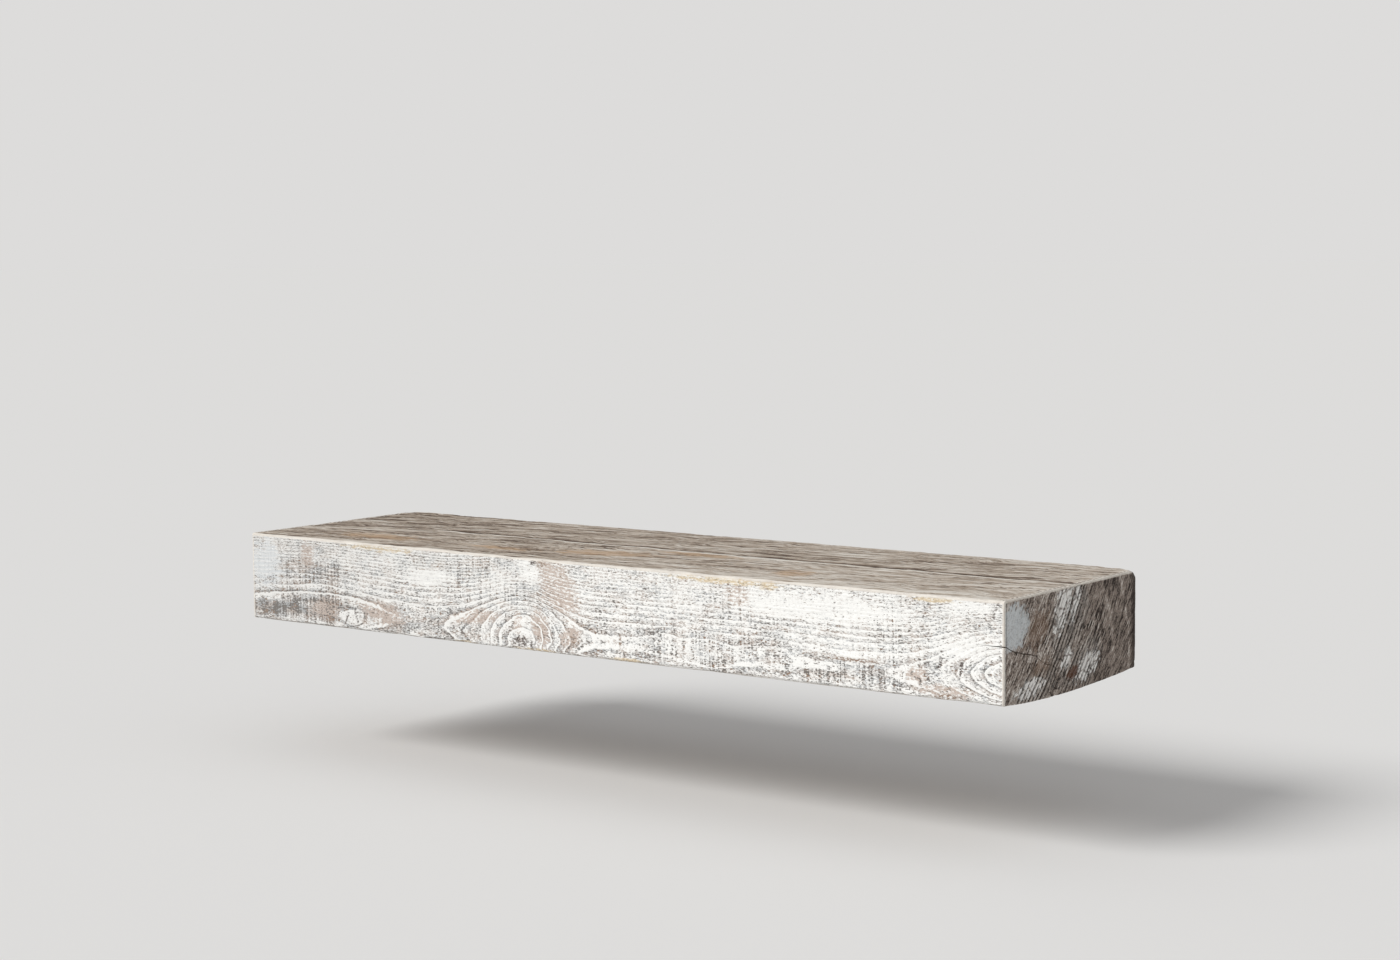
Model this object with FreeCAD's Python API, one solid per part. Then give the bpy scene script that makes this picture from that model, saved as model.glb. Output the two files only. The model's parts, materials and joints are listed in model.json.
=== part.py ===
import FreeCAD, Part
import math
import os

from FreeCAD import Vector

# Beam shelf on a hidden steel bracket, in millimetres.
#
# The shelf is one thick plank of old softwood. A flat steel bar is screwed to the wall, and four
# steel rods stand out of it. The plank slides onto the rods until its back meets the wall, with
# the bar inside a recess. Two grub screws, turned up from below, lock it on the outer rods.
#
# The wall is the plane y = 0 and the room lies at negative y. X runs along the wall and z is up.
# The origin is the centre of the bar's wall face, at half the plank's edge height.

# Timber plank
beam_length = 800.0
beam_depth = 220.0
beam_height = 80.0
cup_sag = 4.0
cup_from_front = 88.0
top_front_wear = 2.5
bottom_front_wear = 3.0
back_corner_radius = 7.0
end_wear = 1.2

# Drying check in the plank's right end, which runs from the front face to the heart of the tree
check_width = 1.0
check_root_width = 0.1
check_depth = 21.0
check_front_height = 5.3
check_path = [(4.3, 4.4), (18.2, -1.4), (29.3, -3.9), (51.6, -8.8), (65.4, -16.6), (86.0, -24.0)]

# Flat bar on the wall
bar_length = 700.0
bar_height = 50.0
bar_thickness = 8.0
bar_corner_radius = 4.0
bar_edge_break = 0.6
recess_side_play = 1.0
recess_floor_play = 1.0

# Holes for the wall screws, four in a rectangle and one near each end of the bar
wall_hole_radius = 3.25
wall_head_radius = 6.5
wall_hole_span_x = 400.0
wall_hole_span_z = 28.0
wall_hole_end_inset = 25.0

# Support rods and the bores that take them
rod_count = 4
rod_end_inset = 80.0
rod_radius = 8.0
rod_reach = 150.0
rod_tip_chamfer = 1.5
bore_play = 0.3
bore_spare_depth = 6.0
bore_mouth_chamfer = 1.5
drill_tip_height = 3.0

# Countersunk screws that hold the rods to the bar from behind
rod_screw_radius = 4.0
rod_screw_head_radius = 8.0
rod_screw_length = 25.0
rod_screw_socket = 5.0
rod_screw_socket_depth = 3.0
head_sink = 0.2
head_play = 0.2
thread_play = 0.05
tap_spare_depth = 4.0

# Grub screws and their threaded inserts, in holes from the underside
lock_from_wall = 60.0
lock_screw_radius = 3.0
lock_screw_socket = 3.0
lock_screw_socket_depth = 3.5
lock_tip_chamfer = 0.8
lock_tip_gap = 0.3
lock_end_sink = 5.7
lock_hole_play = 0.3
insert_radius = 5.0
insert_length = 13.0
insert_chamfer = 0.8
insert_sink = 1.0
insert_pocket_play = 0.05

outward = Vector(0, -1, 0)
upward = Vector(0, 0, 1)
half_length = beam_length / 2
top_z = beam_height / 2
underside_z = -beam_height / 2
lowest_y = cup_from_front - beam_depth
recess_floor_y = -(bar_thickness + recess_floor_play)
bore_radius = rod_radius + bore_play
insert_foot_z = underside_z + insert_sink
lock_tip_z = -(rod_radius + lock_tip_gap)


def spread(count, span):
    """Evenly spaced places, centred on the origin, with the first and last a span apart."""
    return [span * (number / (count - 1) - 0.5) for number in range(count)]


rod_places = spread(rod_count, bar_length - 2 * rod_end_inset)
lock_places = [rod_places[0], rod_places[-1]]


def turned(outline, foot, direction):
    """A turned solid. The outline lists (radius, distance) corners of its half section.

    Distances are measured from foot, along direction.
    """
    corners = [Vector(radius, 0, distance) for radius, distance in outline]
    section = Part.Face(Part.makePolygon(corners + corners[:1]))
    solid = section.revolve(Vector(0, 0, 0), upward, 360)
    if solid.Volume < 0:
        solid.reverse()
    solid.Placement = FreeCAD.Placement(foot, FreeCAD.Rotation(upward, direction))
    return solid


def hex_socket(across_flats, depth, foot, direction):
    """The space that a hexagon key fills, from foot and along direction."""
    corner_radius = across_flats / math.sqrt(3)
    turns = [math.radians(60 * side) for side in range(7)]
    corners = [Vector(corner_radius * math.cos(turn), corner_radius * math.sin(turn), 0) for turn in turns]
    solid = Part.Face(Part.makePolygon(corners)).extrude(upward * depth)
    solid.Placement = FreeCAD.Placement(foot, FreeCAD.Rotation(upward, direction))
    return solid


def block(low, high):
    """A box from its lowest corner to its highest."""
    size = high - low
    return Part.makeBox(size.x, size.y, size.z, low)


def same(value, target):
    return abs(value - target) < 0.001


def edges_where(solid, test):
    """The solid's edges whose ends both pass the test."""
    return [edge for edge in solid.Edges if all(test(end.Point) for end in edge.Vertexes)]


def edges_across_x(solid):
    """The solid's edges whose two ends have the same x."""
    return [edge for edge in solid.Edges if same(edge.Vertexes[0].X, edge.Vertexes[-1].X)]


def edges_along_y(solid):
    """The solid's edges that run straight in or out from the wall."""
    return [edge for edge in edges_across_x(solid) if same(edge.Vertexes[0].Z, edge.Vertexes[-1].Z)]


def upright_edges(solid, y):
    """The solid's edges that stand upright at a given distance from the wall."""
    at_y = edges_where(solid, lambda end: same(end.y, y))
    return [edge for edge in edges_across_x(solid) if any(edge.isSame(other) for other in at_y)]


def cup_arc(run, side):
    """Half of the cupped underside, from its lowest line to an edge that lies run away.

    The two halves meet level at the lowest line. Side is -1 to the front and 1 to the back.
    """
    radius = (run ** 2 + cup_sag ** 2) / (2 * cup_sag)
    half_turn = math.asin(run / radius) / 2
    lowest = Vector(0, lowest_y, underside_z - cup_sag)
    halfway = lowest + Vector(0, side * radius * math.sin(half_turn), radius * (1 - math.cos(half_turn)))
    edge = lowest + Vector(0, side * run, cup_sag)
    return Part.Arc(lowest, halfway, edge).toShape()


def plank():
    """The plank before any hole, with a flat top and front and a cupped underside.

    Wear has rounded the long front edges, and bevelled the edges of the ends and the back.
    """
    back_top = Vector(0, 0, top_z)
    front_top = Vector(0, -beam_depth, top_z)
    front_bottom = Vector(0, -beam_depth, underside_z)
    back_bottom = Vector(0, 0, underside_z)
    sides = [Part.makeLine(back_top, front_top), Part.makeLine(front_top, front_bottom)]
    sides += [cup_arc(cup_from_front, -1), cup_arc(-lowest_y, 1)]
    sides += [Part.makeLine(back_bottom, back_top)]
    section = Part.Face(Part.Wire(Part.__sortEdges__(sides)))
    solid = section.extrude(Vector(beam_length, 0, 0))
    solid.translate(Vector(-half_length, 0, 0))

    solid = solid.makeFillet(back_corner_radius, upright_edges(solid, 0))
    top_front = edges_where(solid, lambda end: same(end.y, -beam_depth) and same(end.z, top_z))
    solid = solid.makeFillet(top_front_wear, top_front)
    bottom_front = edges_where(solid, lambda end: same(end.y, -beam_depth) and same(end.z, underside_z))
    solid = solid.makeFillet(bottom_front_wear, bottom_front)
    # The bevel of a front corner runs on round the whole end, and along the back to the other end.
    return solid.makeChamfer(end_wear, upright_edges(solid, -beam_depth))


def drying_check():
    """The wedge of air in the check, wide at the end grain and closing inwards.

    Its middle line starts in front of the front face, so that the check opens there too.
    Each point of the path is a distance behind the front face and a height above the origin.
    """
    line = [(-2 * check_width, check_front_height), (0.0, check_front_height)] + check_path
    share = [1 - distance / line[-1][0] for distance, _ in line]

    def outline(x, width):
        upper = []
        lower = []
        for (distance, height), opening in zip(line[:-1], share):
            half = width * min(opening, 1) / 2
            upper.append(Vector(x, distance - beam_depth, height + half))
            lower.append(Vector(x, distance - beam_depth, height - half))
        tip = Vector(x, line[-1][0] - beam_depth, line[-1][1])
        corners = upper + [tip] + lower[::-1]
        return Part.makePolygon(corners + corners[:1])

    beyond_end = outline(half_length + check_width, check_width)
    root = outline(half_length - check_depth, check_root_width)
    return Part.makeLoft([root, beyond_end], True, True)


def rod_bore(x):
    """A blind bore with a countersunk mouth in the recess floor and a drilled tip."""
    depth = bar_thickness + rod_reach + bore_spare_depth + recess_floor_y
    mouth_radius = bore_radius + bore_mouth_chamfer
    outline = [
        (0, -recess_floor_play),
        (mouth_radius, -recess_floor_play),
        (mouth_radius, 0),
        (bore_radius, bore_mouth_chamfer),
        (bore_radius, depth),
        (0, depth + drill_tip_height),
    ]
    return turned(outline, Vector(x, recess_floor_y, 0), outward)


def lock_hole(x):
    """The stepped hole from the underside: a pocket for the insert, then the screw's own hole."""
    pocket_radius = insert_radius + insert_pocket_play
    hole_radius = lock_screw_radius + lock_hole_play
    foot = Vector(x, -lock_from_wall, underside_z - 2 * cup_sag)
    pocket_top = insert_foot_z + insert_length - foot.z
    outline = [
        (0, 0),
        (pocket_radius, 0),
        (pocket_radius, pocket_top),
        (hole_radius, pocket_top),
        (hole_radius, -foot.z),
        (0, -foot.z),
    ]
    return turned(outline, foot, upward)


def make_shelf_beam():
    half_recess = Vector(bar_length / 2 + recess_side_play, 0, bar_height / 2 + recess_side_play)
    recess = block(
        Vector(-half_recess.x, recess_floor_y, -half_recess.z),
        Vector(half_recess.x, bar_thickness, half_recess.z),
    )
    recess = recess.makeFillet(bar_corner_radius, edges_along_y(recess))
    cutters = [recess, drying_check()]
    cutters += [rod_bore(x) for x in rod_places]
    cutters += [lock_hole(x) for x in lock_places]
    return plank().cut(cutters)


def countersunk_hole(hole_radius, face_radius, depth):
    """Outline of a hole with a 90 degree countersink, widest at distance 0."""
    return [
        (0, -face_radius),
        (face_radius, -face_radius),
        (face_radius, 0),
        (hole_radius, face_radius - hole_radius),
        (hole_radius, depth),
        (0, depth),
    ]


def make_wall_bar():
    low = Vector(-bar_length / 2, -bar_thickness, -bar_height / 2)
    high = Vector(bar_length / 2, 0, bar_height / 2)
    bar = block(low, high)
    bar = bar.makeFillet(bar_corner_radius, edges_along_y(bar))
    bar = bar.makeChamfer(bar_edge_break, edges_where(bar, lambda end: same(end.y, -bar_thickness)))

    through = 2 * bar_thickness
    screw_face_radius = rod_screw_head_radius + head_sink + head_play
    rod_hole = countersunk_hole(rod_screw_radius + head_play, screw_face_radius, through)
    cutters = [turned(rod_hole, Vector(x, 0, 0), outward) for x in rod_places]

    wall_hole = countersunk_hole(wall_hole_radius, wall_head_radius, through)
    inner = [(x, z) for x in spread(2, wall_hole_span_x) for z in spread(2, wall_hole_span_z)]
    outer = [(x, 0) for x in spread(2, bar_length - 2 * wall_hole_end_inset)]
    for x, z in inner + outer:
        cutters.append(turned(wall_hole, Vector(x, -bar_thickness, z), -outward))
    return bar.cut(cutters)


def make_support_rod(x):
    """A rod that seats on the bar's front face, tapped from that end, with a chamfered tip."""
    tap_radius = rod_screw_radius + thread_play
    tap_depth = head_sink + rod_screw_length + tap_spare_depth - bar_thickness
    outline = [
        (tap_radius, 0),
        (rod_radius, 0),
        (rod_radius, rod_reach - rod_tip_chamfer),
        (rod_radius - rod_tip_chamfer, rod_reach),
        (0, rod_reach),
        (0, tap_depth),
        (tap_radius, tap_depth),
    ]
    return turned(outline, Vector(x, -bar_thickness, 0), outward)


def make_rod_screw(x):
    """A countersunk screw with a hexagon socket, sunk just below the wall face."""
    face = Vector(x, -head_sink, 0)
    outline = [
        (0, 0),
        (rod_screw_head_radius, 0),
        (rod_screw_radius, rod_screw_head_radius - rod_screw_radius),
        (rod_screw_radius, rod_screw_length),
        (0, rod_screw_length),
    ]
    socket = hex_socket(rod_screw_socket, rod_screw_socket_depth, face, outward)
    return turned(outline, face, outward).cut(socket)


def make_thread_insert(x):
    """A threaded sleeve for wood, with a chamfer that leads it up into its pocket."""
    bore = lock_screw_radius + thread_play
    outline = [
        (bore, 0),
        (insert_radius, 0),
        (insert_radius, insert_length - insert_chamfer),
        (insert_radius - insert_chamfer, insert_length),
        (bore, insert_length),
    ]
    return turned(outline, Vector(x, -lock_from_wall, insert_foot_z), upward)


def make_lock_screw(x):
    """A grub screw whose flat tip stops just under the rod. Its socket faces down."""
    foot = Vector(x, -lock_from_wall, insert_foot_z + lock_end_sink)
    length = lock_tip_z - foot.z
    outline = [
        (0, 0),
        (lock_screw_radius, 0),
        (lock_screw_radius, length - lock_tip_chamfer),
        (lock_screw_radius - lock_tip_chamfer, length),
        (0, length),
    ]
    socket = hex_socket(lock_screw_socket, lock_screw_socket_depth, foot, upward)
    return turned(outline, foot, upward).cut(socket)


def save(name, shape):
    """Writes one piece to its own file, after making sure that it is one sound solid."""
    solid = shape.Solids[0]
    print(name, "solids", len(shape.Solids), "valid", solid.isValid(), "volume", round(solid.Volume, 1))
    solid.exportStep("parts/" + name + ".step")


os.makedirs("parts", exist_ok=True)
save("shelf_beam", make_shelf_beam())
save("wall_bar", make_wall_bar())
for number, x in enumerate(rod_places, start=1):
    save("support_rod_%d" % number, make_support_rod(x))
    save("rod_screw_%d" % number, make_rod_screw(x))
for number, x in enumerate(lock_places, start=1):
    save("thread_insert_%d" % number, make_thread_insert(x))
    save("lock_screw_%d" % number, make_lock_screw(x))
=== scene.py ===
# %% [markdown]
# # A whitewashed beam shelf
# The shelf is one thick plank of old softwood. It seems to float, because a steel bar with four
# rods hides inside it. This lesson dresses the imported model: it gives the plank its sawn, worn and
# painted faces, and the hidden steel its finishes. The frame comes first, because every piece has
# to sit exactly where the construction puts it.

# %% Load the frame
import json
import math

import bmesh
import bpy
from mathutils import Euler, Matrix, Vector

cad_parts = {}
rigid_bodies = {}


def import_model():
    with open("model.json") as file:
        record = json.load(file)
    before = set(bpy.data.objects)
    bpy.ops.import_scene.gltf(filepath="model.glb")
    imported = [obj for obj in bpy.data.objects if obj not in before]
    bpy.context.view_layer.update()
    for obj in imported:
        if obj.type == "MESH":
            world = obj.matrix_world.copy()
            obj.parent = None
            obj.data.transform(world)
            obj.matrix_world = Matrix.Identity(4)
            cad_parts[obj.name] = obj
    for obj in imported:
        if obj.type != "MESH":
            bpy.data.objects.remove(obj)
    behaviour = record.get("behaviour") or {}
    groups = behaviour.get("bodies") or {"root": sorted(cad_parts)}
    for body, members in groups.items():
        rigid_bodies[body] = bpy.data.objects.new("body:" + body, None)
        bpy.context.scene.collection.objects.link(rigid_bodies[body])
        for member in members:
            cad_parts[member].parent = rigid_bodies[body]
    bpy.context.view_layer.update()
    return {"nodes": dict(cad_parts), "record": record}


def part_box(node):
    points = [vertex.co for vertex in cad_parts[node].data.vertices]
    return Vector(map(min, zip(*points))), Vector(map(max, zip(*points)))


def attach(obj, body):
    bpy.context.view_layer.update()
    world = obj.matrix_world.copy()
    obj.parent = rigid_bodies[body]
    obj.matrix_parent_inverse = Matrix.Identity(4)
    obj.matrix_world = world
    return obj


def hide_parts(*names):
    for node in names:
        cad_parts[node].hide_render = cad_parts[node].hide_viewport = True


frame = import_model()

MM = 0.001

# %% [markdown]
# ## Sizes
# The plank's length, depth and height are read from the model, so the dressed piece follows it.
# The front of the plank faces -Y, its back lies in the plane y = 0, and z = 0 is the middle of
# the edge height. The underside is cupped, as a board is that dried with its heart side down.

# %% Sizes of the plank, in millimetres
low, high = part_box("shelf_beam")
LENGTH = (high.x - low.x) / MM
DEPTH = (high.y - low.y) / MM
HEIGHT = 2 * high.z / MM
CUP_SAG = (-low.z - high.z) / MM
CUP_FROM_FRONT = 88.0
print("plank: %.0f x %.0f x %.0f mm, cupped by %.1f mm" % (LENGTH, DEPTH, HEIGHT, CUP_SAG))

# %% [markdown]
# ## Camera
# The camera stands to the right of the shelf, a little above it, and looks along it with a long
# lens. It is made early, so that every test render shows the same view. The turn is built from
# three plain angles: how far it looks to the left, how far down, and how far it leans.

# %% Camera
CAMERA_AT = (1.3331, -1.8647, 0.3128)
VIEW_LEFT = 36.436
VIEW_DOWN = 5.496
VIEW_LEAN = -0.355
LENS_MM = 65.41
SENSOR_MM = 36.0


def add_object(name, data, home=bpy.context.scene.collection):
    """A new object made of its data, in the scene or in a collection of its own."""
    made = bpy.data.objects.new(name, data)
    home.objects.link(made)
    return made


camera = add_object("camera", bpy.data.cameras.new("camera"))
camera.data.sensor_width = SENSOR_MM
camera.data.lens = LENS_MM
camera.location = CAMERA_AT
turn = Euler((0, 0, math.radians(VIEW_LEFT))).to_matrix()
tilt = Euler((math.radians(90 - VIEW_DOWN), 0, 0)).to_matrix()
lean = Euler((0, 0, math.radians(VIEW_LEAN))).to_matrix()
camera.rotation_euler = (turn @ tilt @ lean).to_euler()
bpy.context.scene.camera = camera
print("camera at", [round(value, 3) for value in camera.location])

# %% [markdown]
# ## Values that vary over a surface
# Shaders and geometry nodes both work on fields: values that differ from place to place. Wiring
# Math nodes by hand is slow to read, so one small class wraps a socket and lets Python's own
# operators add the nodes. The same expressions then shape the mesh and colour it, and the grain
# in the relief always lies under the grain in the paint.

# %% A field and its operators
class Field:
    """One output socket of a node tree. Operators on it add Math nodes to that tree."""

    def __init__(self, tree, socket=None):
        self.tree = tree
        self.socket = socket

    def node(self, kind, settings=None, inputs=None, output=0):
        """Adds a node: its settings first, then the values or links of its sockets.

        It gives back one of the node's outputs, or nothing for the last node of a tree.
        """
        made = self.tree.nodes.new(kind)
        for name, value in (settings or {}).items():
            setattr(made, name, value)
        for key, value in (inputs or {}).items():
            if isinstance(value, Field):
                self.tree.links.new(value.socket, made.inputs[key])
            else:
                made.inputs[key].default_value = value
        return Field(self.tree, made.outputs[output]) if made.outputs else None

    def math(self, operation, *others, clamp=False):
        settings = {"operation": operation, "use_clamp": clamp}
        return self.node("ShaderNodeMath", settings, dict(enumerate((self,) + others)))

    def __add__(self, other):
        return self.math("ADD", other)

    __radd__ = __add__

    def __sub__(self, other):
        return self.math("SUBTRACT", other)

    def __rsub__(self, other):
        return (self * -1.0).math("ADD", other)

    def __mul__(self, other):
        return self.math("MULTIPLY", other)

    __rmul__ = __mul__

    def __truediv__(self, other):
        return self.math("DIVIDE", other)

    def __pow__(self, power):
        return self.math("POWER", power)

    def __neg__(self):
        return self * -1.0

    def __abs__(self):
        return self.math("ABSOLUTE")

    def at_least(self, other):
        return self.math("MAXIMUM", other)

    def at_most(self, other):
        return self.math("MINIMUM", other)

    def clamped(self):
        return self.math("ADD", 0.0, clamp=True)

    def ramp(self, start, end):
        """0 before start and 1 after end, with a smooth rise. Start may be the larger."""
        settings = {"interpolation_type": "SMOOTHSTEP"}
        return self.node("ShaderNodeMapRange", settings, {0: self, 1: start, 2: end})

    def bell(self, middle, width):
        """1 at the middle, falling smoothly to 0 with distance."""
        reach = (self - middle) / width
        return (-(reach * reach)).math("EXPONENT")


# %% Colours
def blend(factor, first, second):
    """A colour between two others. Factor 0 gives the first and 1 the second."""
    maker = next(value for value in (factor, first, second) if isinstance(value, Field))
    inputs = {0: factor, 6: first, 7: second}
    return maker.node("ShaderNodeMix", {"data_type": "RGBA"}, inputs, output=2)


def layered(colour, layers):
    """Lays colours over a first one, in their order, each by its own share."""
    for share, over in layers:
        colour = blend(share, colour, over)
    return colour


def tone(red, green, blue):
    """A colour as the eye reads it, 0 to 255, turned into the linear values nodes work with."""
    def linear(value):
        share = value / 255
        return share / 12.92 if share <= 0.04045 else ((share + 0.055) / 1.055) ** 2.4
    return (linear(red), linear(green), linear(blue), 1.0)


# %% [markdown]
# ## Places in millimetres
# Both kinds of tree start from the place of a point. A small record keeps its three coordinates
# as fields, in millimetres, and makes stretched noise: wood looks like wood because everything in
# it is drawn out along the grain. It also keeps the distance from each face, because the finish
# changes from face to face: paint on the front, weather on top, saw marks on the ends. With
# distances, one material covers the whole plank, and the finishes meet at the worn edges.

# %% A place on the plank
class Place:
    """Where a point is: x, y, z and its distances from the faces, in millimetres."""

    def __init__(self, position):
        settings = {"operation": "SCALE"}
        scaled = position.node("ShaderNodeVectorMath", settings, {0: position, 3: 1 / MM})
        split = scaled.node("ShaderNodeSeparateXYZ", {}, {0: scaled}).socket.node
        self.x, self.y, self.z = (Field(scaled.tree, output) for output in split.outputs)

    def measure(self):
        """Adds the distances: behind the front, below the top, from an end, above the foot."""
        self.behind = self.y + DEPTH
        self.below_top = HEIGHT / 2 - self.z
        self.from_end = LENGTH / 2 - abs(self.x)
        self.above_foot = self.z + cup_at(self.y) + HEIGHT / 2
        return self

    def spot(self, x, y, z):
        """A point made of three coordinates."""
        return self.x.node("ShaderNodeCombineXYZ", {}, {0: x, 1: y, 2: z})

    def noise(self, x, y, z, detail=2.0, roughness=0.5):
        """Noise between 0 and 1, read at three coordinates that are already stretched."""
        spot = self.spot(x, y, z)
        inputs = {"Vector": spot, "Scale": 1.0, "Detail": detail, "Roughness": roughness}
        return spot.node("ShaderNodeTexNoise", {}, inputs)

    def cracks(self, x, y, z):
        """0 on the cracks between the cells of a broken layer, rising to the middle of each."""
        spot = self.spot(x, y, z)
        settings = {"feature": "DISTANCE_TO_EDGE"}
        return spot.node("ShaderNodeTexVoronoi", settings, {"Vector": spot, "Scale": 1.0})

    def random_of(self, number):
        """A random value between 0 and 1 that stays the same for the same number."""
        settings = {"noise_dimensions": "1D"}
        return self.x.node("ShaderNodeTexWhiteNoise", settings, {"W": number})


def cup_at(y):
    """How far the cupped underside hangs below its edges, as a field."""
    off_lowest = y + (DEPTH - CUP_FROM_FRONT)
    behind_share = off_lowest.at_least(0.0) / (DEPTH - CUP_FROM_FRONT)
    front_share = off_lowest.at_most(0.0) / CUP_FROM_FRONT
    return (1.0 - behind_share * behind_share - front_share * front_share) * CUP_SAG


def object_place(tree):
    return Place(Field(tree).node("ShaderNodeTexCoord", output="Object"))


def mesh_place(tree):
    return Place(Field(tree).node("GeometryNodeInputPosition"))


# %% [markdown]
# ## Growth rings
# Every line of grain on the plank, on all six faces, is a cut through the same growth rings. So
# the rings are worked out once, as a distance from the heart of the tree. On the right end the
# rings are circles round the heart; on the front, which the saw cut beside it, they open into
# long lines, and they close into pointed hills where a branch pushed the rings outwards. Drawing
# lines on each face would be quicker, but they would not meet at the edges.

# %% Branches that pushed the rings
RING_WIDTH = 1.6
RING_START = 0.1
HEART_FROM_FRONT = 80.5
HEART_Z = -25.3
HEART_CLIMB = 0.0061
HEART_SWAY = 1.2
BRANCH_REACH = 85.0
print("rings: %.1f mm wide, their heart %.1f mm behind the front" % (RING_WIDTH, HEART_FROM_FRONT))


def swelling(along, across, deep, centre, push, widths, slant=0.0, spread=8.0):
    """How far a branch pushed the rings where it comes near a face, in millimetres.

    The push is centred at (along, across) on the face and fades with depth. It fades over four
    different lengths: backwards and forwards along the grain, and to either side across it. Its
    crest slants by so much for each millimetre across. A small spread number gives long tails.
    """
    before, after, up, down = widths
    rise = across - centre[1]
    run = along - (rise * slant + centre[0])
    run_share = run / (run.ramp(-1.0, 1.0) * (after - before) + before)
    rise_share = rise / (rise.ramp(-1.0, 1.0) * (up - down) + down)
    deep_share = deep / BRANCH_REACH
    reach = run_share * run_share + rise_share * rise_share + deep_share * deep_share
    return (reach / spread + 1.0) ** -spread * push


# %% Distance from the heart, counted in rings
def rings_from_heart(place):
    """The number of rings between a point and the heart of the tree, as a field."""
    sway = (place.x * 0.01477 + 0.481).math("SINE") * HEART_SWAY
    heart_z = sway + place.x * HEART_CLIMB + HEART_Z
    out = place.behind - HEART_FROM_FRONT
    up = place.z - heart_z
    total = (out * out + up * up).math("SQRT")
    front = (place.x, place.z, place.behind)
    top = (place.x, place.behind, place.below_top)
    pushes = [
        swelling(*front, (-72, -42), -8.8, (47, 40, 84, 40)),
        swelling(*front, (-310, -20), -2.0, (80, 75, 50, 30)),
        swelling(*front, (-270, -32), -1.5, (12, 10, 10, 9), slant=0.5),
        swelling(*front, (118, -26), -1.2, (54, 69, 12, 18), slant=0.1, spread=2.0),
        swelling(*front, (408, -13), -8.6, (52, 60, 64, 30), slant=-0.2, spread=16.0),
        swelling(*front, (-189, -34), 1.1, (26, 30, 14, 20)),
        swelling(*front, (-396, -38), -1.3, (30, 30, 14, 20)),
        swelling(*front, (-72, -50), -2.4, (34, 28, 16, 16)),
        swelling(*top, (-60, 102), -6.0, (26, 34, 16, 26), slant=0.4),
    ]
    for push in pushes:
        total = total + push
    wander = place.noise(place.x / 40, place.y / 9, place.z / 9, detail=1.0) - 0.5
    far_wander = place.noise(place.x / 160, place.y / 40, place.z / 40, detail=0.0) - 0.5
    total = total + wander + far_wander * place.behind.ramp(0.0, 60.0) * 9.0
    return total / RING_WIDTH + RING_START


def late_wood(rings):
    """The hard edge of each ring: it rises slowly outwards and stops at once."""
    phase = rings.math("FRACT")
    return phase.ramp(0.56, 0.86) * phase.ramp(1.0, 0.94)


def groove_of(rings):
    """The soft wood just outside a hard edge, where dirt and shade gather."""
    return rings.math("FRACT").ramp(0.30, 0.06)


# %% [markdown]
# ## Marks of the saw
# The band saw left upright marks across the front, unevenly spaced, and coarse slanted strokes
# across the ends. Both are waves whose beat a slow noise disturbs. A pure wave would look like a
# comb, and pure noise would lose the rhythm that the eye takes for a saw.

# %% Saw marks and end strokes
SAW_PITCH = 4.6
STROKE_PITCH = 6.4
STROKE_SLANT = 0.8
STROKE_BOW = 0.0025
DEEP_STROKES = [-131.5, -125.0, -118.5]


def saw_marks(place):
    """Upright marks of the band saw, 0 in a groove and 1 on a ridge, unevenly spaced."""
    line = (place.x + place.z * 0.03) / (SAW_PITCH / 2)
    return place.noise(line, place.z / 90, place.y / 60, detail=1.0).ramp(0.38, 0.60)


def stroke_lines(place):
    """Coordinates across and along the strokes on an end, which bow a little like the blade."""
    across = place.y - place.z * (STROKE_SLANT - place.z * STROKE_BOW)
    return across, place.z + place.y * STROKE_SLANT


def end_strokes(place):
    """Slanted strokes of the saw across the end, 0 in a torn groove and 1 on the wood between."""
    across, along = stroke_lines(place)
    beat = place.noise(across / 26, along / 220, place.x / 90, detail=1.0) * 16.0
    wave = (across * (2 * math.pi / STROKE_PITCH) + beat).math("SINE") * 0.5 + 0.5
    torn = place.noise(across / 2.6, along / 20, place.x / 90, roughness=0.6)
    strokes = (wave * 0.6 + torn * 1.4 - 0.5).ramp(0.20, 0.50)
    wander = (place.noise(along / 30, 4.0, place.x / 90, detail=1.0) - 0.5) * 6.0
    deep = [(across + wander).bell(middle, 1.3) for middle in DEEP_STROKES]
    on_right_end = place.x.ramp(-1.0, 1.0)
    deep_share = (deep[0] + deep[1] + deep[2]) * on_right_end * torn.ramp(0.72, 0.50)
    return strokes * (1.0 - deep_share.at_most(1.0))


# %% [markdown]
# ## Patches
# Here and there the finish differs by hand or by accident: a stretch of solid paint, a place
# rubbed down to bare wood, a smear on the end. Each is a soft ellipse with a frayed rim, so a
# patch is one short line of places and sizes, and its rim follows the grain.

# %% Frayed patches
def patches(first, second, fray, places, soft=0.15):
    """1 inside any of some frayed ellipses on a face, 0 outside. Sizes are in millimetres.

    Each place is a centre, two half widths and, if the patch leans, how far its top leans over.
    Soft is how much of its half width the rim takes to fade.
    """
    nearest = None
    for along, across, half_along, half_across, *lean in places:
        rise = second.math("MULTIPLY_ADD", 1 / half_across, -across / half_across)
        run = first.math("MULTIPLY_ADD", 1 / half_along, -along / half_along)
        if lean:
            run = rise.math("MULTIPLY_ADD", -lean[0] / half_along, run)
        reach = (run * run + rise * rise).math("SQRT")
        nearest = reach if nearest is None else nearest.at_most(reach)
    return ((fray - 0.5) * 2.6 + nearest).ramp(1 + soft, 1 - soft)


# %% Where the strokes are deep
STROKE_PLACES = [(103, 14, 24, 30, 10), (124, -25, 30, 17, 8), (46, -33, 28, 9, 6)]


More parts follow.
